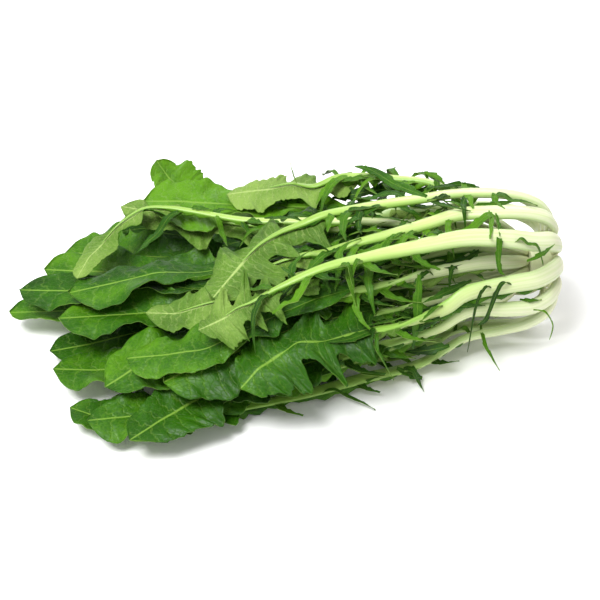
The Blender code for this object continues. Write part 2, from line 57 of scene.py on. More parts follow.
# The whole head, as in the part: lengths in millimetres, angles in degrees
head = {
    "seed": 7,
    "axisHeight": 64.6,
    "centreShift": Vector((-8.83, -1.17, 0.0)),
    "rootStations": (0.0, 13.0, 28.0, 46.0, 70.0, 104.0),
    "stemStations": 4,
    "bladeSpans": 6,
    "ribSides": 6,
    "ribFlatness": 0.64,
    "ribFace": 0.87,
    "ribTaper": ((0.0, 0.66), (0.03, 1.0), (0.07, 1.14), (0.16, 1.06), (0.25, 0.98),
                 (0.45, 0.84), (0.7, 0.5), (0.9, 0.24), (1.0, 0.15)),
    "ribEnd": 0.93,
    "bladeColumns": (-1.0, -0.5, 0.0, 0.5, 1.0),
    "bladeThickness": 0.8,
    "bladeGap": 1.1,
    "toothedLobes": (0.1, 0.34, 0.86, 0.5, 0.36, 1.0, 0.62, 0.44, 1.0, 0.9, 0.78, 0.56, 0.12),
    "roundedLobes": (0.1, 0.34, 0.62, 0.4, 0.36, 0.74, 0.5, 0.5, 0.8, 0.98, 1.0, 0.84, 0.36),
    "lobeSweep": 0.42,
    "lobeChange": 0.18,
    "waveHeight": 2.6,
    "sideSlope": 0.42,
    "levelReach": 5.0,
    "ribReach": 7.0,
    "leafletLength": 42.0,
    "leafletWidth": 7.6,
    "leafletThickness": 0.9,
    "leafletShape": (0.8, 1.0, 0.8, 0.12),
    "leafletStart": 0.5,
    "fanAngles": (15, 47, 74, 100, 130, 163, 193, 223, 250, 276, 303, 333, 375),
    "crownAngles": (14, 44, 70, 96, 122, 148, 174, 201, 229, 258, 288, 321, 374),
    "fanShares": (1.0, 1.0, 0.6, 0.1, 0.0),
    "fanEnd": 140.0,
    "fanRun": 40.0,
    "twistStart": 150.0,
    "twistRun": 110.0,
    "leanFrom": 200.0,
}

# The pile that the leaves are laid on, as in the part
pileBox = {
    "cell": 2.5,
    "x": (-290.0, 260.0),
    "y": (-200.0, 220.0),
    "clearance": 0.7,
    "pressedFlat": 1.5,
    "sampleStep": 1.6,
    "freeBeyond": 165.0,
    "stillBeyond": 212.0,
    "settleFrom": 60.0,
    "settleRun": 120.0,
    "settleGap": 5.0,
    "settleShare": 0.4,
    "lyingGap": 5.5,
    "bladeAllowance": 0.6,
    "leafletAllowance": 0.7,
    "leafletHighestLift": 9.0,
    "raiseRounds": 2,
}

outerRing = ((221.0, 24.5), (222.0, 36.0), (210.0, 51.0), (184.0, 59.0), (152.0, 60.0))
secondRing = ((201.2, 17.0), (189.0, 28.0), (172.0, 38.0), (150.0, 43.0))
thirdRing = ((202.1, 7.5), (190.0, 12.0), (174.0, 18.0), (150.0, 23.0))

# Each leaf: its name, ring, angle round the crown, the way its rib's back turns (1 up, -1 down), rib
# width, blade length and half width, how many leaflets, the slopes of the blade's front and back
# halves, the places it passes, and its tone from dark to bright. The tone is partly the leaf's own
# green and partly painted shade and light
leafRows = (
    ("01", outerRing, 276, -1, 15.0, 180, 32, 2, (-0.3, -0.3),
     ((100, -8, -3), (0, -14, 1), (-150, -10, 1)), 0.3),
    ("02", outerRing, 250, -1, 15.0, 155, 32, 2, (-0.3, -0.3),
     ((100, -42, -3), (0, -58, 1), (-112, -66, 1)), 0.3),
    ("03", outerRing, 303, -1, 15.0, 170, 34, 2, (-0.3, -0.3),
     ((95, 28, -4), (0, 44, 1), (-140, 62, 1)), 0.3),
    ("04", outerRing, 333, -1, 15.0, 170, 34, 2, (-0.3, 0.3),
     ((100, 58, 14), (0, 86, 1), (-118, 122, 1)), 0.35),
    ("05", outerRing, 223, -1, 15.0, 145, 29, 5, (0.1, 0.2),
     ((130, -66, 16), (105, -66, 10), (-15, -97, 6), (-128, -112, 6), (-182, -100, 14)), 0.5),
    ("06", secondRing, 290, -1, 11.0, 200, 29, 2, (0.0, 0.0),
     ((100, 8, 24), (0, 8, 22), (-205, -30, 14)), 0.2),
    ("07", secondRing, 256, -1, 11.0, 200, 29, 2, (0.1, -0.2),
     ((100, -25, 26), (0, -38, 24), (-130, -60, 18), (-198, -62, 24)), 0.45),
    ("08", secondRing, 227, -1, 11.0, 190, 24, 5, (-0.3, 0.1),
     ((110, -56, 34), (10, -84, 22), (-90, -110, 16), (-166, -122, 20)), 0.6),
    ("09", secondRing, 335, -1, 11.0, 210, 29, 2, (-0.2, 0.3),
     ((100, 30, 42), (0, 54, 34), (-120, 78, 36), (-200, 84, 46)), 0.5),
    ("10", thirdRing, 288, -1, 8.5, 210, 22, 2, (0.2, 0.2),
     ((100, 5, 42), (0, 4, 42), (-244, 16, 24)), 0.65),
    ("11", outerRing, 193, -1, 15.0, 180, 38, 7, (-0.1, 0.3),
     ((136, -60, 36), (102, -66, 22), (4, -84, 12), (-70, -104, 8), (-131, -150, 5)), 0.3),
    ("12", secondRing, 199, -1, 11.0, 215, 31, 5, (0.0, 0.1),
     ((100, -38, 46), (0, -58, 40), (-110, -76, 38), (-152, -96, 26)), 0.55),
    ("13", thirdRing, 216, -1, 8.5, 225, 27, 4, (0.1, 0.0),
     ((100, -14, 52), (0, -28, 50), (-194, -24, 40)), 0.5),
    ("14", thirdRing, 0, -1, 8.5, 225, 27, 4, (-0.1, 0.1),
     ((100, 18, 58), (0, 28, 54), (-140, 50, 44), (-216, 58, 42)), 0.6),
    ("15", outerRing, 15, -1, 15.0, 150, 27, 4, (-0.42, 0.5),
     ((100, 78, 62), (0, 108, 46), (-74, 116, 76), (-115, 148, 134)), 1.0),
    ("16", secondRing, 12, 1, 11.0, 205, 30, 4, (-0.4, -0.2),
     ((100, 36, 72), (0, 62, 66), (-146, 98, 62)), 0.6),
    ("17", thirdRing, 155, -1, 8.5, 230, 23, 4, (-0.1, 0.1),
     ((100, -14, 68), (0, -20, 66), (-150, 6, 52), (-232, 20, 40)), 0.3),
    ("18", thirdRing, 60, -1, 8.5, 230, 26, 4, (0.1, -0.2),
     ((100, 6, 76), (0, 12, 74), (-186, -4, 50)), 0.4),
    ("19", secondRing, 171, -1, 11.0, 185, 31, 5, (-0.4, 0.0),
     ((100, -50, 62), (0, -74, 56), (-104, -108, 26)), 0.4),
    ("20", outerRing, 163, -1, 15.0, 125, 38, 7, (-0.42, -0.1),
     ((110, -71, 62), (27, -92, 54), (-6, -100, 50), (-44, -124, 20)), 0.4),
    ("21", thirdRing, 108, -1, 8.5, 98, 24, 4, (-0.3, -0.3),
     ((110, -14, 84), (60, -26, 76), (20, -44, 66), (-10, -62, 56)), 0.55),
    ("22", secondRing, 143, -1, 11.0, 190, 24, 6, (-0.1, -0.3),
     ((94, -45, 86), (6, -66, 74), (-69, -90, 56), (-134, -84, 50)), 0.6),
    ("23", secondRing, 40, -1, 11.0, 185, 30, 6, (-0.3, 0.2),
     ((100, 44, 88), (0, 72, 80), (-70, 90, 76), (-124, 92, 74)), 0.85),
    ("24", secondRing, 68, 1, 11.0, 140, 16, 6, (-0.3, -0.3),
     ((100, 22, 92), (0, 42, 86), (-134, 74, 62), (-180, 10, 46)), 0.7),
    ("25", secondRing, 115, 1, 11.0, 150, 28, 6, (-0.42, -0.42),
     ((119, -16, 101), (6, -42, 84), (-62, -46, 72), (-119, -46, 62)), 0.5),
    ("26", outerRing, 47, 1, 15.0, 120, 34, 7, (-0.42, -0.2),
     ((122, 54, 112), (60, 80, 102), (0, 84, 92), (-50, 92, 80)), 0.85),
    ("27", outerRing, 100, 1, 15.0, 90, 25, 7, (-0.42, -0.42),
     ((138, -6, 119), (72, -21, 109), (-9, -29, 92), (-60, -24, 78)), 0.6),
    ("28", outerRing, 74, 1, 15.0, 120, 38, 7, (-0.42, -0.42),
     ((120, 18, 117), (47, 8, 108), (-20, -12, 94), (-64, -56, 74)), 0.38),
    ("29", outerRing, 130, 1, 16.0, 70, 27, 7, (-0.42, -0.42),
     ((84, -48, 103), (6, -62, 92), (-76, -90, 68)), 0.62),
)


def share(table, place):
    return float(np.interp(place, [row[0] for row in table], [row[1] for row in table]))


class Pile:
    def __init__(self):
        cell = pileBox["cell"]
        rows = int((pileBox["x"][1] - pileBox["x"][0]) / cell)
        columns = int((pileBox["y"][1] - pileBox["y"][0]) / cell)
        self.top = np.full((rows, columns), -pileBox["clearance"] - pileBox["pressedFlat"])
        self.near = self.top.copy()

    def cells(self, points):
        rows = ((points[:, 0] - pileBox["x"][0]) / pileBox["cell"]).astype(int)
        columns = ((points[:, 1] - pileBox["y"][0]) / pileBox["cell"]).astype(int)
        return np.clip(rows, 1, self.top.shape[0] - 2), np.clip(columns, 1, self.top.shape[1] - 2)

    def add(self, points):
        rows, columns = self.cells(points)
        np.maximum.at(self.top, (rows, columns), points[:, 2])
        self.near = self.top.copy()
        for across in (-1, 0, 1):
            for along in (-1, 0, 1):
                self.near = np.maximum(self.near, np.roll(self.top, (across, along), (0, 1)))

    def height(self, points):
        rows, columns = self.cells(points)
        return self.near[rows, columns]


def spreadOver(corners):
    longest = max((corners[i] - corners[i - 1]).length for i in range(3))
    steps = max(int(longest / pileBox["sampleStep"]), 1)
    return np.array([(i, j, steps - i - j) for i in range(steps + 1) for j in range(steps + 1 - i)]) / steps


def surfacePoints(points, triangles):
    found = []
    for triangle in triangles:
        corners = [points[i] for i in triangle]
        found.append(spreadOver(corners) @ np.array([tuple(corner) for corner in corners]))
    return np.concatenate(found)


# How far each point must rise for the whole surface to clear the pile
def liftsNeeded(pile, points, triangles, below, held=()):
    needed = np.zeros(len(points))
    for triangle in triangles:
        corners = [points[i] for i in triangle]
        shares = spreadOver(corners)
        samples = shares @ np.array([tuple(corner) for corner in corners])
        short = pile.height(samples) + below - samples[:, 2]
        short[samples[:, 0] > pileBox["freeBeyond"]] = 0.0
        if not held:
            for i in triangle:
                needed[i] = max(needed[i], short.max())
            continue
        isHeld = np.array([i in held for i in triangle])
        near = shares[:, isHeld].sum(axis=1) > 0.5
        heldShort = np.where(near, short, 0.0).max()
        counted = shares * ~isHeld
        total = np.maximum((counted ** 2).sum(axis=1), 0.01)
        lifts = np.where(near, 0.0, short / total)[:, None] * counted
        for k, i in enumerate(triangle):
            needed[i] = max(needed[i], heldShort if isHeld[k] else lifts[:, k].max())
    return needed


def curvePoint(points, place):
    i = min(int(place), len(points) - 2)
    t = place - i
    before = points[max(i - 1, 0)]
    after = points[min(i + 2, len(points) - 1)]
    start, end = points[i], points[i + 1]
    return 0.5 * (
        2 * start
        + (end - before) * t
        + (2 * before - 5 * start + 4 * end - after) * t * t
        + (3 * start - before - 3 * end + after) * t * t * t
    )


def leafSpine(ring, angle, places, bladeLength):
    points = []
    for (x, r), fan in zip(ring, head["fanShares"]):
        atCrown = np.interp(angle, head["fanAngles"], head["crownAngles"]) if ring is outerRing else angle
        turn = math.radians(angle + (atCrown - angle) * fan)
        points.append(Vector((x, r * math.cos(turn), head["axisHeight"] + r * math.sin(turn))))
    points += [Vector(place) for place in places]
    steps = 40 * len(points)
    fine = [curvePoint(points, (len(points) - 1) * i / steps) for i in range(steps + 1)]
    run = np.cumsum([0.0] + [(fine[i + 1] - fine[i]).length for i in range(steps)])
    start = run[-1] - bladeLength
    stem = np.linspace(head["rootStations"][-1], start, head["stemStations"] + 1)[1:]
    blade = np.linspace(start, run[-1], head["bladeSpans"] + 1)[1:]
    wanted = np.concatenate((head["rootStations"], stem, blade))
    axes = [np.interp(wanted, run, [p[k] for p in fine]) for k in range(3)]
    return [Vector(p) for p in zip(*axes)], wanted / run[-1]


def directions(spine):
    found = []
    for i in range(len(spine)):
        step = spine[min(i + 1, len(spine) - 1)] - spine[max(i - 1, 0)]
        found.append(step.normalized())
    return found


def outwardNormals(spine, angle, face):
    turn = math.radians(angle)
    ringwise = Vector((0.0, math.cos(turn), math.sin(turn)))
    found = []
    for point, along in zip(spine, directions(spine)):
        radial = Vector((0.0, point.y, point.z - head["axisHeight"])).normalized()
        radial = ringwise.lerp(radial, min(max((point.x - head["fanEnd"]) / head["fanRun"], 0.0), 1.0))
        blend = min(max((head["twistStart"] - point.x) / head["twistRun"], 0.0), 1.0)
        wanted = radial.lerp(Vector((0.0, 0.0, face)), blend * blend * (3 - 2 * blend))
        if point.x > head["leanFrom"]:
            wanted = wanted + Vector((0.5, 0.0, 0.0))
        found.append((wanted - along * wanted.dot(along)).normalized())
    return found


def ribGrid(spine, normals, halfWidths):
    grid = []
    for point, along, normal, half in zip(spine, directions(spine), normals, halfWidths):
        side = along.cross(normal).normalized()
        ring = []
        for k in range(head["ribSides"]):
            turn = 2 * math.pi * k / head["ribSides"]
            ring.append(point + side * half * math.cos(turn)
                        + normal * half * head["ribFlatness"] * math.sin(turn))
        grid.append(ring)
    return grid


def tubeFaces(rings, sides):
    faces = []
    for i in range(rings - 1):
        for k in range(sides):
            a, b = i * sides + k, i * sides + (k + 1) % sides
            faces += [(a, b, a + sides), (b, b + sides, a + sides)]
    return faces


def gridFaces(rows, columns):
    faces = []
    for i in range(rows - 1):
        for k in range(columns - 1):
            a = i * columns + k
            faces += [(a, a + 1, a + columns), (a + 1, a + columns + 1, a + columns)]
    return faces


def smoothLifts(lifts):
    lifts = np.array(lifts)
    for _ in range(6):
        padded = np.pad(lifts, 1, mode="edge")
        lifts = np.maximum(lifts, (padded[:-2] + padded[2:]) / 2 * 0.96)
    return lifts


# The lifts fade out towards the crown, where the ribs stay put
def raiseSpine(spine, lifts):
    fade = pileBox["stillBeyond"] - pileBox["freeBeyond"]
    for point, lift in zip(spine, smoothLifts(lifts)):
        point.z += lift * min(max((pileBox["stillBeyond"] - point.x) / fade, 0.0), 1.0)


def settle(pile, spine):
    for point in spine:
        free = min(max((pileBox["settleFrom"] - point.x) / pileBox["settleRun"], 0.0), 1.0)
        under = pile.height(np.array([tuple(point)]))[0] + pileBox["settleGap"]
        if under < point.z:
            point.z += (under - point.z) * free * pileBox["settleShare"]


def liftSpine(pile, spine, normals, halfWidths, below):
    grid = ribGrid(spine, normals, halfWidths)
    points = [point for ring in grid for point in ring]
    needed = liftsNeeded(pile, points, tubeFaces(len(grid), head["ribSides"]), below)
    stations = needed.reshape(len(grid), head["ribSides"]).max(axis=1)
    raiseSpine(spine, stations)


def bladeGrid(spine, normals, halfWidths, leaf, draw):
    length, halfBlade = leaf[5], leaf[6]
    lobes = head["toothedLobes"] if leaf[1] is outerRing or leaf[3] > 0 else head["roundedLobes"]
    first = len(spine) - 1 - head["bladeSpans"]
    span = length / head["bladeSpans"]
    phase = draw.uniform(0, 2 * math.pi)
    change = head["lobeChange"]
    sizes = {side: [1 + draw.uniform(-change, change) for _ in lobes] for side in (-1, 1)}
    rows, reach = [], []
    last = len(spine) - 1
    for i, step in enumerate(lobes):
        place = first + i / 2
        row, far = [], []
        for column in head["bladeColumns"]:
            side = 1 if column > 0 else -1
            wide = halfBlade * step * (sizes[side][i] if column else 1)
            away = abs(column) * wide
            back = max(place - head["lobeSweep"] * away / span, 0.0)
            k = min(int(back), last - 1)
            t = back - k
            centre = spine[k].lerp(spine[k + 1], t)
            along = (spine[k + 1] - spine[k]).normalized()
            normal = normals[k].lerp(normals[k + 1], t)
            half = halfWidths[k] + (halfWidths[k + 1] - halfWidths[k]) * t
            across = along.cross(normal).normalized()
            wave = head["waveHeight"] * math.sin(phase + i * 1.9 + side) * (away / 20.0) ** 2
            drop = normal * (half * head["ribFlatness"] * head["ribFace"] + head["bladeGap"]
                             + head["bladeThickness"] / 2)
            row.append(centre - drop + across * side * away + Vector((0, 0, wave)))
            far.append(away)
        rows.append(row)
        reach.append(far)
    return rows, reach


def drapeBlade(pile, rows, reach, leaf):
    face, slopes = leaf[3], leaf[8]
    middle = len(head["bladeColumns"]) // 2
    for row, far in zip(rows, reach):
        for k, (point, away) in enumerate(zip(row, far)):
            if k == middle:
                continue
            front = (k > middle) == (face < 0)
            rise = slopes[0 if front else 1] * max(away - head["levelReach"], 0.0)
            under = pile.height(np.array([tuple(point)]))[0] + pileBox["lyingGap"]
            point.z = point.z + rise if rise > 0 else max(min(point.z, under), row[middle].z + rise)
    points = [point for row in rows for point in row]
    columns = len(head["bladeColumns"])
    held = set(range(middle, len(points), columns))
    gap = pileBox["clearance"] + pileBox["bladeAllowance"]
    lifts = liftsNeeded(pile, points, gridFaces(len(rows), columns), gap, held)
    return lifts.reshape(len(rows), columns)


def raiseStations(spine, rowNeeds):
    first = len(spine) - 1 - head["bladeSpans"]
    padded = np.pad(rowNeeds, 1)
    wanted = np.zeros(len(spine))
    for j in range(head["bladeSpans"] + 1):
        wanted[first + j] = padded[2 * j:2 * j + 3].max()
    raiseSpine(spine, wanted)


def leafletPoints(pile, centre, along, across, length):
    rows = []
    steps = len(head["leafletShape"])
    for i, wide in enumerate(head["leafletShape"]):
        t = i / (steps - 1)
        half = head["leafletWidth"] / 2 * wide
        middle = centre + across * length * t * (0.8 - 0.25 * t) - along * length * t * t * 0.55
        middle.z += 3.0 * t * (1 - t) - 4.0 * t * t
        rows.append([middle - along * half, middle + along * half])
    points = [p for row in rows for p in row]
    gap = pileBox["clearance"] + pileBox["leafletAllowance"]
    return rows, liftsNeeded(pile, points, gridFaces(steps, 2), gap).reshape(-1, 2).max(axis=1)


def leafletGrids(pile, spine, normals, halfWidths, leaf, draw):
    made = []
    first = len(head["rootStations"]) - 1
    for n in range(leaf[7]):
        free = head["stemStations"] - head["leafletStart"]
        place = first + head["leafletStart"] + free * (n + 0.3) / leaf[7]
        k = int(place)
        centre = spine[k].lerp(spine[k + 1], place - k)
        along = (spine[k + 1] - spine[k]).normalized()
        side = 1 if (n + int(leaf[0])) % 2 else -1
        across = along.cross(normals[k]).normalized() * side
        across.z = min(across.z, 0.0)
        length = head["leafletLength"] * draw.uniform(0.6, 1.3)
        rows, lifts = leafletPoints(pile, centre + across * halfWidths[k] * 0.35, along, across, length)
        if lifts[1:].max() > pileBox["leafletHighestLift"]:
            continue
        for row, lift in zip(rows[1:], lifts[1:]):
            for point in row:
                point.z = max(point.z + lift, head["leafletThickness"])
        made.append(rows)
    return made


# Lays a leaf on the pile, as the part does, and keeps the lines that its fine pieces follow
def layLeaf(leaf, pile):
    name, ring, angle, face, ribWidth, bladeLength = leaf[:6]
    spine, shares = leafSpine(ring, angle, leaf[9], bladeLength)
    settle(pile, spine)
    halfWidths = [ribWidth / 2 * share(head["ribTaper"], place) for place in shares]
    normals = outwardNormals(spine, angle, face)
    liftSpine(pile, spine, normals, halfWidths, pileBox["clearance"])
    seed = head["seed"] * 100 + int(name)
    for _ in range(pileBox["raiseRounds"]):
        rows, reach = bladeGrid(spine, normals, halfWidths, leaf, random.Random(seed))
        lifts = drapeBlade(pile, rows, reach, leaf)
        allowed = np.maximum(np.array(reach) - head["ribReach"], 0) * head["sideSlope"]
        raiseStations(spine, np.maximum(lifts - allowed, 0).max(axis=1))
        normals = outwardNormals(spine, angle, face)
    draw = random.Random(seed)
    rows, reach = bladeGrid(spine, normals, halfWidths, leaf, draw)
    lifts = drapeBlade(pile, rows, reach, leaf)
    middle = len(head["bladeColumns"]) // 2
    for row, rowLifts in zip(rows, lifts):
        for k, lift in enumerate(rowLifts):
            row[k].z += 0.0 if k == middle else lift
            row[k].z = max(row[k].z, head["bladeThickness"])
    straps = leafletGrids(pile, spine, normals, halfWidths, leaf, draw)
    kept = [i for i, place in enumerate(shares) if place <= head["ribEnd"]]
    grid = ribGrid([spine[i] for i in kept], [normals[i] for i in kept], [halfWidths[i] for i in kept])
    up = np.array((0.0, 0.0, pileBox["bladeAllowance"]))
    pile.add(surfacePoints([p for ring in grid for p in ring], tubeFaces(len(grid), head["ribSides"])))
    pile.add(surfacePoints([p for row in rows for p in row], gridFaces(len(rows), len(row))) + up)
    for strap in straps:
        pile.add(surfacePoints([p for row in strap for p in row], gridFaces(len(strap), 2)) + up)
    return {"name": name, "face": face, "spine": spine, "shares": shares, "normals": normals,
            "halfWidths": halfWidths, "rows": rows, "straps": straps, "toneAndShade": leaf[10],
            "toothed": ring is outerRing or face > 0, "last": kept[-1]}


def srgb(r, g, b):
    return tuple(((c / 255 + 0.055) / 1.055) ** 2.4 if c > 10 else c / 255 / 12.92 for c in (r, g, b))


# A material in the making, with short ways to add nodes and to join them
class Skin:
    def __init__(self, name):
        self.material = bpy.data.materials.new(name)
        self.material.use_nodes = True
        self.nodes = self.material.node_tree.nodes
        self.links = self.material.node_tree.links
        self.nodes.clear()
        self.shader = self.node("ShaderNodeBsdfPrincipled")

    def feed(self, socket, value):
        if isinstance(value, bpy.types.NodeSocket):
            self.links.new(value, socket)
        elif socket.type == "RGBA":
            socket.default_value = (*value, 1.0)
        else:
            socket.default_value = value

    def node(self, kind, **values):
        made = self.nodes.new(kind)
        for key, value in values.items():
            if key in made.inputs:
                self.feed(made.inputs[key], value)
            else:
                setattr(made, key, value)
        return made

    def math(self, operation, first, second=None):
        made = self.node("ShaderNodeMath", operation=operation)
        self.feed(made.inputs[0], first)
        if second is not None:
            self.feed(made.inputs[1], second)
        return made.outputs[0]

    def mix(self, factor, first, second):
        made = self.node("ShaderNodeMix", data_type="RGBA")
        for socket, value in zip((0, 6, 7), (factor, first, second)):
            self.feed(made.inputs[socket], value)
        return made.outputs[2]

    def ramp(self, level, stops):
        made = self.nodes.new("ShaderNodeValToRGB")
        elements = made.color_ramp.elements
        while len(elements) > 1:
            elements.remove(elements[-1])
        elements[0].position = stops[0][0]
        elements[0].color = (*stops[0][1], 1.0)
        for position, colour in stops[1:]:
            elements.new(position).color = (*colour, 1.0)
        self.links.new(level, made.inputs[0])
        return made.outputs[0]

    def noise(self, place, **values):
        return self.node("ShaderNodeTexNoise", Vector=place, **values).outputs[0]

    # A noise's swing either side of its middle
    def swing(self, value, amount):
        return self.math("MULTIPLY", self.math("SUBTRACT", value, 0.5), amount)

    # A soft step down from 1 at low to 0 at high
    def fadeOut(self, value, low, high):
        ends = {"From Min": low, "From Max": high, "To Min": 1.0, "To Max": 0.0}
        made = self.node("ShaderNodeMapRange", interpolation_type="SMOOTHSTEP", Value=value, **ends)
        return made.outputs[0]

    def objectPlace(self):
        return self.node("ShaderNodeTexCoord").outputs["Object"]

    def leafMap(self):
        return self.node("ShaderNodeUVMap", uv_map="leafMap").outputs[0]

    def split(self, place):
        return self.node("ShaderNodeSeparateXYZ", Vector=place).outputs

    def attribute(self, name):
        return self.node("ShaderNodeAttribute", attribute_name=name).outputs["Fac"]

    def paint(self, colour, roughness, shine):
        self.feed(self.shader.inputs["Base Color"], colour)
        self.shader.inputs["Roughness"].default_value = roughness
        self.shader.inputs["Specular IOR Level"].default_value = shine

    def bump(self, height, strength, distance):
        made = self.node("ShaderNodeBump", Strength=strength, Distance=distance, Height=height)
        self.links.new(made.outputs[0], self.shader.inputs["Normal"])

    def finish(self, surface):
        self.node("ShaderNodeOutputMaterial", Surface=surface)
        return self.material


# A blade's veins, from the blade's own map, where u is the way across in blade half widths and v the
# way along in lobes: the midrib, the side veins that leave it in forward arcs, and the net between
veins = {
    "arcPower": 0.7, "arc": 0.75, "wander": 0.55, "midrib": (0.012, 0.055), "midribStrength": 0.8,
    "netScale": 6.5, "netWidth": 0.07,
}


def veinMask(skin, perLobe, width):
    place = skin.leafMap()
    u, v = skin.split(place)[:2]
    bend = skin.swing(skin.noise(place, Scale=2.6, Detail=3.0, Roughness=0.6), veins["wander"])
    across = skin.math("ABSOLUTE", u)
    arc = skin.math("MULTIPLY", skin.math("POWER", across, veins["arcPower"]), veins["arc"])
    slanted = skin.math("SUBTRACT", skin.math("ADD", v, bend), arc)
    saw = skin.math("PINGPONG", skin.math("MULTIPLY", slanted, perLobe), 0.5)
    thinner = skin.math("ADD", saw, skin.math("MULTIPLY", across, width * 0.5))
    side = skin.fadeOut(thinner, 0.0, width)
    mid = skin.fadeOut(across, *veins["midrib"])
    fine = skin.node("ShaderNodeTexVoronoi", feature="DISTANCE_TO_EDGE", Scale=veins["netScale"],
                     Vector=place)
    return mid, side, skin.fadeOut(fine.outputs["Distance"], 0.0, veins["netWidth"])


# Blade skins, upper and under: the ramp from dark through body to lit is partly the leaf's own green and
# partly painted shade and light
upperSkin = {
    "dark": srgb(16, 52, 1), "body": srgb(42, 92, 3), "lit": srgb(90, 142, 20),
    "vein": srgb(128, 168, 62), "through": srgb(120, 195, 10), "veinsPerLobe": 2.0,
    "veinWidth": 0.13, "side": 0.24, "net": 0.1, "relief": -0.9,
    "roughness": 0.42, "shine": 0.22, "glow": 0.12,
}
underSkin = {
    "dark": srgb(48, 84, 16), "body": srgb(86, 124, 38), "lit": srgb(132, 164, 74),
    "vein": srgb(176, 200, 118), "through": srgb(130, 195, 30), "veinsPerLobe": 3.0,
    "veinWidth": 0.2, "side": 0.34, "net": 0.14, "relief": 1.0,
    "roughness": 0.55, "shine": 0.2, "glow": 0.12,
}


# Skin of a blade: base colour by the leaf's tone with broad patches and fine grain, veins paler.
# The tone runs a ramp from dark to lit, so it paints shade and light as well as the leaf's own green
def bladeMaterial(name, look):
    skin = Skin(name)
    place = skin.objectPlace()
    patch = skin.noise(place, Scale=30.0, Detail=4.0)
    grain = skin.noise(place, Scale=520.0, Detail=3.0)
    mid, side, net = veinMask(skin, look["veinsPerLobe"], look["veinWidth"])
    uneven = skin.math("ADD", skin.swing(patch, 1.1), skin.swing(grain, 0.5))
    level = skin.math("ADD", skin.attribute("toneAndShade"), uneven)
    base = skin.ramp(level, ((0.0, look["dark"]), (0.5, look["body"]), (1.0, look["lit"])))
    for mask, strength in ((net, look["net"]), (side, look["side"]), (mid, veins["midribStrength"])):
        base = skin.mix(skin.math("MULTIPLY", mask, strength), base, look["vein"])
    skin.paint(base, look["roughness"], look["shine"])
    relief = skin.math("MULTIPLY", side, look["relief"])
    relief = skin.math("ADD", relief, skin.math("MULTIPLY", net, look["relief"] * 0.5))
    relief = skin.math("ADD", relief, skin.math("MULTIPLY", grain, 0.35))
    skin.bump(relief, 0.7, 0.0006)
    through = skin.node("ShaderNodeBsdfTranslucent", Color=skin.mix(0.5, base, look["through"]))
    both = skin.node("ShaderNodeMixShader")
    for socket, value in zip(both.inputs, (look["glow"], skin.shader.outputs[0], through.outputs[0])):
        skin.feed(socket, value)
    return skin.finish(both.outputs[0])


ribSkin = {
    "tints": ((0.0, srgb(219, 215, 184)), (0.1, srgb(221, 224, 192)), (0.3, srgb(209, 219, 168)),
              (0.5, srgb(190, 208, 132)), (0.7, srgb(152, 184, 88)), (1.0, srgb(108, 148, 54))),
    "line": srgb(172, 200, 104), "lineStrength": 0.5, "flankGreenAndShade": srgb(118, 166, 54),
    "roughness": 0.36, "shine": 0.45, "depth": 0.25, "depthColour": (0.8, 1.0, 0.5), "depthReach": 0.003,
}


# Skin of a rib: cream at its foot and greener along it, with fine lines and green flanks.
# The green of the flanks and underside is partly the rib's own green edges and partly painted shade
def ribMaterial():
    skin = Skin("ribSkin")
    place = skin.leafMap()
    patch = skin.noise(skin.objectPlace(), Scale=22.0, Detail=3.0)
    stretched = skin.node("ShaderNodeMapping", Vector=place, Scale=(26.0, 2.2, 1.0)).outputs[0]
    lines = skin.noise(stretched, Scale=1.0, Detail=4.0)
    base = skin.ramp(skin.math("ADD", skin.split(place)[1], skin.swing(patch, 0.22)), ribSkin["tints"])
    streak = skin.node("ShaderNodeMapRange", Value=lines, **{"From Min": 0.42, "From Max": 0.7}).outputs[0]
    base = skin.mix(skin.math("MULTIPLY", streak, ribSkin["lineStrength"]), base, ribSkin["line"])
    # Green flanks and underside: partly the rib's own colour, partly painted shade
    base = skin.mix(skin.attribute("edge"), base, ribSkin["flankGreenAndShade"])
    skin.paint(base, ribSkin["roughness"], ribSkin["shine"])
    skin.shader.inputs["Subsurface Weight"].default_value = ribSkin["depth"]
    skin.shader.inputs["Subsurface Radius"].default_value = ribSkin["depthColour"]
    skin.shader.inputs["Subsurface Scale"].default_value = ribSkin["depthReach"]
    skin.bump(lines, 0.5, 0.0005)
    return skin.finish(skin.shader.outputs[0])


crownStub = {"start": 203.0, "end": 226.0, "radius": 23.8, "sides": 48, "bevel": 2.0, "cutFrom": 0.2335}


# The crown: pale sides, and a beige cut face past cutFrom
def crownMaterial():
    skin = Skin("crownCut")
    place = skin.objectPlace()
    patch = skin.noise(place, Scale=160.0, Detail=5.0)
    stops = ((0.3, srgb(196, 160, 118)), (0.5, srgb(224, 204, 164)), (0.75, srgb(238, 228, 198)))
    flesh = skin.mix(patch, srgb(206, 214, 164), srgb(232, 232, 200))
    isCut = skin.math("GREATER_THAN", skin.split(place)[0], crownStub["cutFrom"])
    skin.paint(skin.mix(isCut, flesh, skin.ramp(patch, stops)), 0.7, 0.5)
    skin.bump(patch, 0.7, 0.0008)
    return skin.finish(skin.shader.outputs[0])


materials = {
    "upper": bladeMaterial("leafUpper", upperSkin),
    "under": bladeMaterial("leafUnder", underSkin),
    "rib": ribMaterial(),
    "crown": crownMaterial(),
}


def addObject(name, data):
    made = bpy.data.objects.new(name, data)
    bpy.context.scene.collection.objects.link(made)
    return made


# No fine piece reaches past the part's own box, with room for half a blade's thickness
def keepInside(point):
    edge = 0.0004
    limits = zip(point, cadLow, cadHigh)
    return Vector([min(max(value, low + edge * (low < 0)), high - edge) for value, low, high in limits])


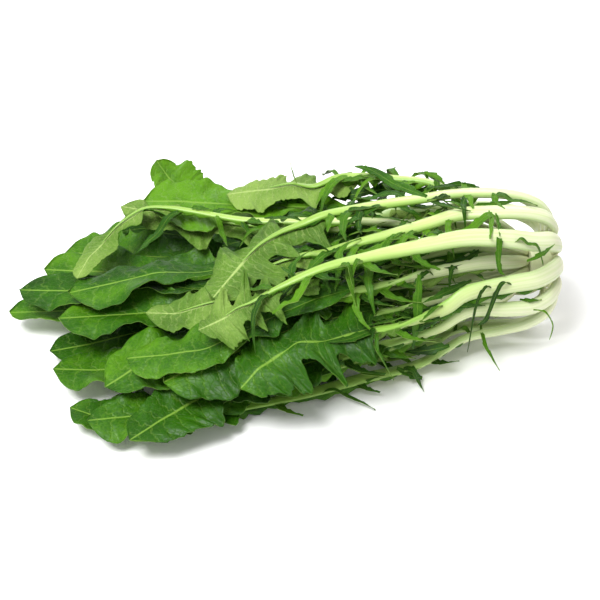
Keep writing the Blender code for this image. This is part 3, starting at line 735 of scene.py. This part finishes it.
# A sheet of rows by columns, each point put in place by a function of how far it is along and across
def sheetObject(name, rows, columns, place, mapAt, values=None):
    shape = bmesh.new()
    bmesh.ops.create_grid(shape, x_segments=rows, y_segments=columns, size=0.5)
    leafMap = shape.loops.layers.uv.new("leafMap")
    layers = {key: shape.verts.layers.float.new(key) for key in (values or {})}
    spots = {vertex: (vertex.co.x + 0.5, vertex.co.y + 0.5) for vertex in shape.verts}
    for face in shape.faces:
        face.smooth = True
        for loop in face.loops:
            loop[leafMap].uv = mapAt(*spots[loop.vert])
    for vertex, (along, across) in spots.items():
        vertex.co = keepInside((place(along, across) - head["centreShift"]) * mm)
        for key, layer in layers.items():
            vertex[layer] = values[key](along, across)
    mesh = bpy.data.meshes.new(name)
    shape.to_mesh(mesh)
    shape.free()
    return addObject(name, mesh)


def smoothAlong(points, place):
    return curvePoint(points, min(max(place, 0.0), len(points) - 1.0))


fineBlade = {
    "rows": 120, "columns": 34, "thickness": 0.5, "lowest": 0.3,
    "pucker": 0.5, "puckerFrom": 8.0, "grain": 0.5, "grainFrom": 6.0, "edgeWave": 6.5, "waveRate": 0.6,
    "edgeRipple": 2.0, "rippleRate": 1.9, "waveFrom": 16.0,
    "groove": 0.8, "grooveWidth": 2.2, "tipCurl": 5.0, "tipFrom": 0.7, "cup": (-2.5, 8.0), "sharpness": 0.3,
    "tooth": 0.12, "smallTooth": 0.03, "ragged": 0.09, "lobeRows": 1.5, "endPowers": (2.8, 0.42),
}


# How far out the edge runs at each place along a blade: small teeth on the toothed leaves, hardly any
# on the rounded ones
def edgeShare(j, side, toothed, shift):
    tooth = abs((j * 2.3 + side * 0.4) % 1.0 - 0.3)
    ragged = noise.noise(Vector((j * 1.3, side * 5.0, 0)) + shift)
    depth = fineBlade["tooth"] if toothed else fineBlade["smallTooth"]
    return 1.0 - depth * tooth + fineBlade["ragged"] * (ragged - 0.5)


# The fine blade lies on the part's blade, with a rounded end in place of its straight cut, waved
# edges, veins sunk in and the skin puckered between
def makeBlade(leaf):
    rows = leaf["rows"]
    last = len(rows) - 1
    middle = len(head["bladeColumns"]) // 2
    draw = random.Random(int(leaf["name"]))
    shift = Vector((draw.uniform(0, 50), draw.uniform(0, 50), 0))
    tipCurl = fineBlade["tipCurl"] * draw.uniform(-0.4, 1.0)
    cups = {side: draw.uniform(*fineBlade["cup"]) for side in (-1, 1)}
    up = 1 if leaf["face"] < 0 else -1
    lines = [[row[k] for row in rows] for k in range(2 * middle + 1)]

    def place(along, across):
        j = along * last
        u = (across - 0.5) * 2
        side = 1 if u > 0 else -1
        edge = 2 * middle if u > 0 else 0
        columns = [smoothAlong(line, j) for line in lines]
        k = int(min(j, last - 0.001))
        straight = lines[edge][k].lerp(lines[edge][k + 1], j - k)
        corner = columns[edge].lerp(straight, fineBlade["sharpness"])
        columns[edge] = Vector((corner.x, corner.y, columns[edge].z))
        size = u * edgeShare(j, side, leaf["toothed"], shift)
        point = curvePoint(columns, (size + 1) * middle)
        reach = max((columns[edge] - columns[middle]).length, 0.1)
        end = j - (last - 1)
        if end > 0:
            full = (rows[last - 1][edge] - rows[last - 1][middle]).length
            inward, outward = fineBlade["endPowers"]
            rounded = full * max(1 - end ** inward, 0.0) ** outward / reach
            point = columns[middle] + (point - columns[middle]) * rounded
        wide = abs(size) * reach
        loose = min(wide / fineBlade["waveFrom"], 1.4)
        waving = noise.noise(Vector((j * fineBlade["waveRate"], side * 3, 3)) + shift)
        rippling = noise.noise(Vector((j * fineBlade["rippleRate"], side * 7, 6)) + shift)
        wave = fineBlade["edgeWave"] * waving * loose ** 1.5
        ripple = fineBlade["edgeRipple"] * rippling * loose ** 2
        slant = j / fineBlade["lobeRows"] - veins["arc"] * abs(u) ** veins["arcPower"]
        ridge = abs((slant * 2 % 1.0) - 0.5) * 2
        pucker = fineBlade["pucker"] * (1 - ridge ** 3) * min(wide / fineBlade["puckerFrom"], 1)
        rough = noise.noise(Vector((j * 3.1, u * 5.0, 9)) + shift)
        grain = fineBlade["grain"] * rough * min(wide / fineBlade["grainFrom"], 1)
        sunk = math.exp(-(wide / fineBlade["grooveWidth"]) ** 2)
        groove = -fineBlade["groove"] * sunk * (1 - along * 0.6)
        tip = tipCurl * max(along - fineBlade["tipFrom"], 0.0) ** 2 * 8
        cup = cups[side] * (wide / max(reach, 6)) ** 2 * math.sin(math.pi * min(along * 1.1, 1.0))
        height = point.z + (pucker + grain + groove) * up + wave + ripple + tip + cup
        point.z = max(height, fineBlade["lowest"])
        return point

    def mapAt(along, across):
        return ((across - 0.5) * 2, along * last / fineBlade["lobeRows"])

    # The leaf's tone, lighter towards the tip, with slow drifting patches of painted shade and light
    def toneAndShadeAt(along, across):
        drift = noise.noise(Vector((along * 3, across * 2, 20)) + shift)
        return leaf["toneAndShade"] + 0.22 * (along - 0.5) + 0.25 * drift

    made = sheetObject(f"leaf_{leaf['name']}_blade_fine", fineBlade["rows"], fineBlade["columns"],
                       place, mapAt, {"toneAndShade": toneAndShadeAt})
    top, bottom = ("upper", "under") if leaf["face"] < 0 else ("under", "upper")
    dressSheet(made, top, bottom, fineBlade["thickness"])
    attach(made, "root")
    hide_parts(f"leaf_{leaf['name']}_blade")


# One skin above and another below, with a little thickness between
def dressSheet(item, top, bottom, thickness):
    faceUp(item)
    item.data.materials.append(materials[top])
    item.data.materials.append(materials[bottom])
    thick = item.modifiers.new("Thickness", "SOLIDIFY")
    thick.thickness = thickness * mm
    thick.offset = 0.0
    thick.material_offset = 1
    thick.material_offset_rim = 1


# Turns the sheet over if most of it faces down
def faceUp(item):
    if sum(polygon.normal.z * polygon.area for polygon in item.data.polygons) < 0:
        item.data.flip_normals()


fineRib = {
    "rings": 130, "sides": 20, "channel": 0.16, "ridge": 0.035, "ridges": 9, "pointed": 0.2, "point": 0.12,
    "backHeight": 0.92, "faceHeight": 0.8, "swell": 0.04,
}


# The fine rib: a fleshy bar, rounded outside and channelled inside, with fine ridges along it
def makeRib(leaf):
    spine, normals = leaf["spine"], leaf["normals"]
    along = directions(spine)
    last = leaf["last"]
    draw = random.Random(int(leaf["name"]) + 40)
    turnShift = draw.uniform(0, 6)
    runs = np.array(leaf["shares"][:last + 1])

    def stationAt(way):
        wanted = runs[0] + (runs[-1] - runs[0]) * way
        return float(np.interp(wanted, runs, range(len(runs))))

    def place(way, around):
        j = stationAt(way)
        centre = smoothAlong(spine[:last + 1], j)
        k = min(int(j), last - 1)
        t = j - k
        normal = normals[k].lerp(normals[k + 1], t)
        forward = along[k].lerp(along[k + 1], t)
        side = forward.cross(normal).normalized()
        half = leaf["halfWidths"][k] * (1 - t) + leaf["halfWidths"][k + 1] * t
        turn = 2 * math.pi * around
        flat = head["ribFlatness"] * fineRib["backHeight" if math.sin(turn) > 0 else "faceHeight"]
        inner = max(-math.sin(turn), 0) ** 2 * fineRib["channel"]
        fading = 0.6 + 0.4 * math.sin(j * 2 + turnShift)
        ridge = fineRib["ridge"] * math.sin(turn * fineRib["ridges"] + turnShift) * fading
        narrowing = min((1 - way) / fineRib["pointed"], 1) ** 0.7
        size = half * (0.97 + ridge * 0.6) * (fineRib["point"] + (1 - fineRib["point"]) * narrowing)
        cosine, sine = math.cos(turn), math.sin(turn)
        squared = abs(cosine) ** 0.85 * (1 if cosine > 0 else -1)
        swell = 1 + fineRib["swell"] * noise.noise(centre * 0.03 + Vector((0, 0, turnShift)))
        point = centre + side * size * squared * swell + normal * size * flat * (sine + inner) * swell
        point.z = max(point.z, 0.0)
        return point

    def mapAt(way, around):
        return (around, way)

    # How green the rib is: on its flanks and below, and more so along it. This is partly the rib's
    # own green edges and partly painted shade on its sides and underside
    def ribGreenAndShade(way, around):
        turn = 2 * math.pi * around
        flankGreenAndShade = abs(math.cos(turn)) ** 3
        below = 0.8 if math.sin(turn) < -0.3 else 0.0
        return min(0.12 + 1.6 * way, 0.85) * max(flankGreenAndShade, below)

    made = sheetObject(f"leaf_{leaf['name']}_rib_fine", fineRib["rings"], fineRib["sides"],
                       place, mapAt, {"edge": ribGreenAndShade})
    shape = bmesh.new()
    shape.from_mesh(made.data)
    bmesh.ops.remove_doubles(shape, verts=shape.verts, dist=0.000001)
    bmesh.ops.holes_fill(shape, edges=[edge for edge in shape.edges if edge.is_boundary], sides=0)
    bmesh.ops.recalc_face_normals(shape, faces=shape.faces)
    shape.to_mesh(made.data)
    shape.free()
    made.data.materials.append(materials["rib"])
    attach(made, "root")
    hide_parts(f"leaf_{leaf['name']}_rib")


fineLeaflet = {
    "rows": 26, "columns": 6, "thickness": 0.45, "lowest": 0.3,
    "teeth": 3.2, "tooth": 0.5, "twist": 1.6, "fold": 0.9,
}


# A narrow leaflet between two edges of a few points each: toothed, twisted, and folded along its middle
def leafletSheet(name, rows, toneAndShade, draw):
    phase = draw.uniform(0, 6)
    lines = [[row[k] for row in rows] for k in (0, 1)]

    def place(along, across):
        j = along * (len(rows) - 1)
        left, right = smoothAlong(lines[0], j), smoothAlong(lines[1], j)
        tooth = (along * fineLeaflet["teeth"] + phase + 0.5 * (across > 0.5)) % 1.0
        u = (across - 0.5) * (1.15 - fineLeaflet["tooth"] * tooth * min(8 * (1 - along), 1))
        point = (left + right) / 2 + (right - left) * u
        twist = fineLeaflet["twist"] * math.sin(along * 5 + phase) * u * along
        fold = -fineLeaflet["fold"] * (1 - 4 * u * u) * (1 - along)
        point.z = max(point.z + twist + fold, fineLeaflet["lowest"])
        return point

    def mapAt(along, across):
        return ((across - 0.5) * 2, along * 2)

    made = sheetObject(name, fineLeaflet["rows"], fineLeaflet["columns"],
                       place, mapAt, {"toneAndShade": lambda along, across: toneAndShade})
    dressSheet(made, "upper", "under", fineLeaflet["thickness"])
    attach(made, "root")


# The leaflets that the part also has
def makeLeaflets(leaf):
    draw = random.Random(int(leaf["name"]) + 80)
    for n, rows in enumerate(leaf["straps"]):
        # The leaflet's tone comes from the leaf's, which is partly painted shade, varied at random
        toneAndShade = leaf["toneAndShade"] * 0.5 + draw.uniform(0.0, 0.6)
        leafletSheet(f"leaf_{leaf['name']}_leaflet_{n + 1}", rows, toneAndShade, draw)


# The green wings that run down both sides of a rib below its blade, lobed and too thin for the part.
# Own says how wide and from how far along the leaf, for those leaves that differ from most
ribWing = {
    "width": 9.5, "from": 0.13, "rows": 80, "columns": 4, "thickness": 0.4, "lobe": 15.0, "sweep": 0.7,
    "wave": 1.6, "drop": (0.35, 0.9), "curl": 0.5, "clear": 0.8, "lowest": 0.3,
    "own": {"01": (0.0, 0.0), "02": (0.0, 0.0), "03": (0.0, 0.0), "04": (0.0, 0.0), "09": (14.0, 0.13),
            "15": (15.0, 0.13), "16": (14.0, 0.13), "23": (13.0, 0.15), "24": (6.0, 0.24), "25": (8.0, 0.2),
            "26": (11.0, 0.26), "27": (5.0, 0.36), "28": (4.5, 0.4), "29": (4.0, 0.46)},
}


def makeWings(leaf, pile, below):
    width, start = ribWing["own"].get(leaf["name"], (ribWing["width"], ribWing["from"]))
    if not width:
        return
    spine, normals, halves, shares = leaf["spine"], leaf["normals"], leaf["halfWidths"], leaf["shares"]
    along = directions(spine)
    stations = range(len(spine))
    last = len(spine) - head["bladeSpans"] + 0.4
    for side in (-1, 1):
        draw = random.Random(int(leaf["name"]) * 2 + 300 + side)
        first = float(np.interp(start + draw.uniform(-0.05, 0.06), shares, stations))
        shift = Vector((draw.uniform(0, 50), draw.uniform(0, 50), 0))
        drop = draw.uniform(*ribWing["drop"])
        length = sum((spine[i + 1] - spine[i]).length for i in range(int(first), int(last)))
        lobes = max(length / ribWing["lobe"], 2)
        toothShift = draw.random()

        def place(t, out):
            j = first + (last - first) * t
            tooth = (t * lobes + toothShift) % 1.0
            size = 0.3 + 0.7 * tooth ** 0.8 * min((1 - tooth) * 5, 1)
            size *= 0.75 + 0.5 * noise.noise(Vector((t * 7, side, 0)) + shift)
            size *= width * min(t * 5, 1) * min((1 - t) * 9, 1)
            back = max(j - ribWing["sweep"] * out * size / length * (last - first), 0)
            k = min(int(back), len(spine) - 2)
            centre = smoothAlong(spine, back)
            half = halves[k] + (halves[k + 1] - halves[k]) * (back - k)
            across = along[k].cross(normals[k]).normalized() * side
            level = Vector((across.x, across.y, 0.0)).normalized()
            angle = drop + ribWing["curl"] * out
            root = centre + across * half * 0.8
            point = root + (level * math.cos(angle) + Vector((0, 0, -math.sin(angle)))) * out * size
            point.z += ribWing["wave"] * out * noise.noise(Vector((t * lobes * 1.3, out, 5)) + shift)
            cell = pile.cells(np.array([tuple(point)]))
            lowest = max(float(below[cell][0]) + ribWing["clear"], ribWing["lowest"])
            return point if out < 0.2 else Vector((point.x, point.y, max(point.z, lowest)))

        name = f"leaf_{leaf['name']}_wing_{'front' if side > 0 else 'back'}"
        # The wing's tone comes from the leaf's, which is partly painted shade, and grows lighter towards
        # the wing's outer edge
        toneAndShade = leaf["toneAndShade"] + draw.uniform(-0.25, 0.2)
        wing = sheetObject(name, ribWing["rows"], ribWing["columns"], place,
                           lambda t, out: (out, t * lobes / 2), {"toneAndShade": lambda t, out: toneAndShade + 0.3 * out})
        dressSheet(wing, "upper", "under", ribWing["thickness"])
        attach(wing, "root")


# Smaller toothed leaflets along the ribs, too fine for the part. They leave at a slant, mostly
# towards the leaf's tip, and hang down onto what lies beside the rib
smallLeaflets = {
    "count": {"29": 12, "28": 18, "27": 13, "26": 20, "25": 11, "24": 9, "23": 14, "22": 12, "21": 8,
              "20": 11, "19": 12, "18": 9, "17": 8, "16": 8, "15": 7, "12": 11, "13": 8, "14": 6, "11": 13,
              "05": 6},
    "length": (18.0, 52.0), "halfWidth": (1.8, 4.6), "slant": (0.2, 0.95), "towardsTip": 0.75, "roll": 0.8,
    "widths": (0.4, 0.9, 1.0, 0.7, 0.1), "from": 0.18, "highest": 7.0, "clear": 1.0, "steepest": 0.45,
}


def makeSmallLeaflets(leaf, pile):
    look = smallLeaflets
    draw = random.Random(int(leaf["name"]) + 200)
    spine, normals = leaf["spine"], leaf["normals"]
    along = directions(spine)
    first = float(np.interp(look["from"], leaf["shares"], range(len(spine))))
    last = len(spine) - head["bladeSpans"]
    count = look["count"].get(leaf["name"], 0)
    for n in range(count):
        way = first + (last - first) * (n + draw.uniform(0.1, 0.9)) / count
        k = min(int(way), len(spine) - 2)
        centre = spine[k].lerp(spine[k + 1], way - k)
        across = along[k].cross(normals[k]).normalized() * draw.choice((-1, 1))
        across.z = min(across.z, 0.1)
        heading = along[k] * (1 if draw.random() < look["towardsTip"] else -1)
        length, half = draw.uniform(*look["length"]), draw.uniform(*look["halfWidth"])
        slant, bend = draw.uniform(*look["slant"]), draw.uniform(-0.5, 0.9)
        roll, rise = draw.uniform(-look["roll"], look["roll"]), draw.uniform(-3.0, 5.0)
        root = centre + across * leaf["halfWidths"][k] * 0.5
        rows, steps = [], len(look["widths"]) - 1
        for i, wide in enumerate(look["widths"]):
            t = i / steps
            angle = slant + bend * t
            outward = heading * math.cos(angle) + across * math.sin(angle)
            sideways = across * math.cos(angle) - heading * math.sin(angle)
            point = root + outward * length * t
            point.z += rise * 4 * t * (1 - t)
            sideways = (sideways + Vector((0, 0, math.tan(roll * t)))).normalized()
            rows.append([point - sideways * half * wide, point + sideways * half * wide])
        points = np.array([tuple(p) for row in rows for p in row])
        under = pile.height(points).reshape(-1, 2).max(axis=1) + look["clear"]
        if under[1:].max() > centre.z + look["highest"]:
            continue
        for i, (row, low) in enumerate(zip(rows, under)):
            t = i / steps
            for point in row:
                fall = min((point.z - low) * 0.7, length * look["steepest"]) * t
                point.z = point.z - fall if low < point.z or i == 0 else low
        # The leaflet's tone comes from the leaf's, which is partly painted shade, varied at random
        toneAndShade = leaf["toneAndShade"] + draw.uniform(-0.35, 0.35)
        leafletSheet(f"leaf_{leaf['name']}_small_{n + 1}", rows, toneAndShade, draw)


# Leaflets and threads that stand out in the photo, each put in its own place: the leaf it belongs to,
# half its width, its tone (partly painted shade, as on the leaves), and the places it passes from its rib
# outward
seenLeaflets = (
    ("28", 4.5, 0.5, ((116, 14, 126), (104, 27, 124), (91, 42, 122), (76, 62, 122), (63, 75, 118))),
    ("26", 3.0, 0.8, ((136, 42, 119), (130, 49, 122), (121, 57, 121))),
    ("26", 3.0, 0.4, ((165, 34, 119), (147, 37, 121), (126, 34, 120))),
    ("26", 4.5, 1.3, ((153, 43, 119), (150, 16, 127), (151, -7, 127))),
    ("28", 2.4, 0.5, ((154, -2, 127), (172, -3, 128), (195, 9, 122))),
    ("28", 2.4, 0.9, ((165, -5, 127), (162, -27, 127), (157, -47, 125))),
    ("28", 1.8, 0.6, ((168, -15, 127), (168, -28, 125), (166, -42, 124))),
    ("29", 2.2, 0.7, ((186, -58, 110), (198, -55, 114), (213, -38, 110))),
    ("11", 1.7, 0.6, ((186, -56, 69), (194, -59, 70), (204, -57, 68))),
    ("11", 0.7, 0.8, ((193, -73, 72), (201, -79, 74), (208, -82, 62), (206, -86, 50))),
    ("05", 2.0, 0.7, ((162, -34, 26), (159, -69, 32), (169, -86, 18))),
    ("29", 4.0, 0.6, ((101, -56, 100), (99, -69, 84), (98, -76, 64), (97, -76, 38))),
    ("19", 3.5, 0.4, ((149, -37, 76), (124, -56, 80), (102, -73, 84))),
    ("05", 4.5, 0.5, ((85, -75, 16), (98, -77, 10), (107, -76, 4))),
    ("09", 9.0, 0.3, ((-86, 102, 30), (-109, 111, 28), (-128, 117, 30), (-148, 102, 38))),
    ("26", 7.0, 0.2, ((78, 58, 104), (60, 64, 96), (43, 68, 90))),
    ("28", 6.0, 0.2, ((86, 37, 84), (68, 38, 78), (50, 30, 74), (38, 26, 72))),
    ("28", 5.0, 0.3, ((13, 52, 86), (0, 55, 82), (-13, 50, 80))),
    ("23", 5.0, 0.2, ((-29, 54, 60), (-43, 55, 56), (-56, 58, 50))),
    ("19", 5.0, 0.1, ((117, -76, 70), (101, -75, 62), (85, -70, 54))),
    ("11", 5.0, 0.2, ((127, -76, 40), (110, -74, 34), (92, -69, 28))),
    ("29", 4.0, 0.2, ((155, -28, 99), (131, -38, 94), (105, -36, 96))),
    ("19", 5.0, 0.15, ((130, -64, 78), (110, -68, 70), (91, -60, 66))),
    ("26", 0.5, 0.8, ((13, 82, 97), (10, 89, 103), (8, 96, 110))),
    ("28", 4.0, 0.2, ((96, 26, 90), (84, 27, 84), (71, 28, 80))),
    ("27", 4.0, 0.2, ((83, 4, 90), (69, 3, 84), (54, 2, 80))),
    ("26", 6.0, 0.25, ((103, 68, 100), (88, 73, 94), (68, 74, 90))),
    ("26", 4.0, 0.3, ((137, 60, 104), (122, 63, 98), (107, 67, 94))),
    ("23", 6.0, 0.3, ((31, 72, 86), (14, 80, 82), (-2, 80, 80))),
)
seenShape = {
    "widths": ((0.0, 0.3), (0.3, 1.0), (0.7, 0.85), (1.0, 0.15)),
    "facing": Vector((0.0, -0.6, 0.8)),
}


def makeSeenLeaflets(leaf):
    for n, (name, half, toneAndShade, path) in enumerate(seenLeaflets):
        if name != leaf["name"]:
            continue
        points = [Vector(place) for place in path]
        rows = []
        for i, (point, step) in enumerate(zip(points, directions(points))):
            wide = half * share(seenShape["widths"], i / (len(points) - 1))
            sideways = step.cross(seenShape["facing"]).normalized() * wide
            rows.append([point - sideways, point + sideways])
        leafletSheet(f"leaf_{name}_seen_{n + 1}", rows, toneAndShade, random.Random(n + 500))


def makeCrown():
    shape = bmesh.new()
    radius = crownStub["radius"] * mm
    bmesh.ops.create_cone(shape, cap_ends=True, segments=crownStub["sides"], radius1=radius, radius2=radius,
                          depth=(crownStub["end"] - crownStub["start"]) * mm)
    middle = Vector(((crownStub["start"] + crownStub["end"]) / 2, 0.0, head["axisHeight"]))
    middle -= head["centreShift"]
    for vertex in shape.verts:
        x, y, z = vertex.co
        vertex.co = Vector((z, y, -x)) + middle * mm
    mesh = bpy.data.meshes.new("crown_fine")
    shape.to_mesh(mesh)
    shape.free()
    made = addObject("crown_fine", mesh)
    bevel = made.modifiers.new("Soft rim", "BEVEL")
    bevel.width = crownStub["bevel"] * mm
    bevel.segments = 3
    bevel.limit_method = "ANGLE"
    made.data.materials.append(materials["crown"])
    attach(made, "root")
    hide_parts("crown")


print("laying the leaves and making their fine pieces")
pile = Pile()
for row in leafRows:
    below = pile.near.copy()
    leaf = layLeaf(row, pile)
    makeBlade(leaf)
    makeRib(leaf)
    makeWings(leaf, pile, below)
    makeLeaflets(leaf)
    makeSmallLeaflets(leaf, pile)
    makeSeenLeaflets(leaf)
print("making the crown")
makeCrown()

# The photo's setting: plain white surface and ground, soft light from above left
stageLook = {"floor": 4.0, "world": 0.61}
shape = bmesh.new()
bmesh.ops.create_grid(shape, x_segments=1, y_segments=1, size=stageLook["floor"])
floorMesh = bpy.data.meshes.new("floor")
shape.to_mesh(floorMesh)
shape.free()
floor = addObject("floor", floorMesh)
floorSkin = Skin("floorWhite")
floorSkin.paint((0.95, 0.95, 0.95), 0.9, 0.0)
floor.data.materials.append(floorSkin.finish(floorSkin.shader.outputs[0]))

world = bpy.data.worlds.new("studio")
world.use_nodes = True
background = world.node_tree.nodes["Background"].inputs
background["Color"].default_value = (1.0, 1.0, 1.0, 1.0)
background["Strength"].default_value = stageLook["world"]
bpy.context.scene.world = world


def areaLight(name, place, target, size, power):
    light = bpy.data.lights.new(name, "AREA")
    light.shape = "RECTANGLE"
    light.size, light.size_y = size
    light.energy = power
    made = addObject(name, light)
    made.location = place
    made.rotation_euler = (Vector(target) - Vector(place)).to_track_quat("-Z", "Y").to_euler()


areaLight("key", (-0.5, -0.4, 1.3), (0.0, 0.0, 0.05), (0.6, 0.6), 27.0)
areaLight("back", (0.5, 1.2, 0.9), (0.0, 0.0, 0.05), (1.0, 0.6), 10.0)

# The camera stands at the photo's angle, about 40 degrees above the surface
view = {
    "azimuth": -4.0, "elevation": 40.0, "distance": 0.95, "lens": 67.08, "sensor": 36.0,
    "target": (0.01753, -0.01493, 0.045),
}
azimuth, elevation = math.radians(view["azimuth"]), math.radians(view["elevation"])
level = math.cos(elevation)
back = Vector((math.sin(azimuth) * level, -math.cos(azimuth) * level, math.sin(elevation)))
cameraData = bpy.data.cameras.new("camera")
cameraData.lens = view["lens"]
cameraData.sensor_width = view["sensor"]
camera = addObject("camera", cameraData)
camera.location = Vector(view["target"]) + back * view["distance"]
camera.rotation_mode = "QUATERNION"
camera.rotation_quaternion = (-back).to_track_quat("-Z", "Y")
bpy.context.scene.camera = camera
bpy.context.scene.view_settings.view_transform = "Standard"
bpy.context.scene.view_settings.look = "None"
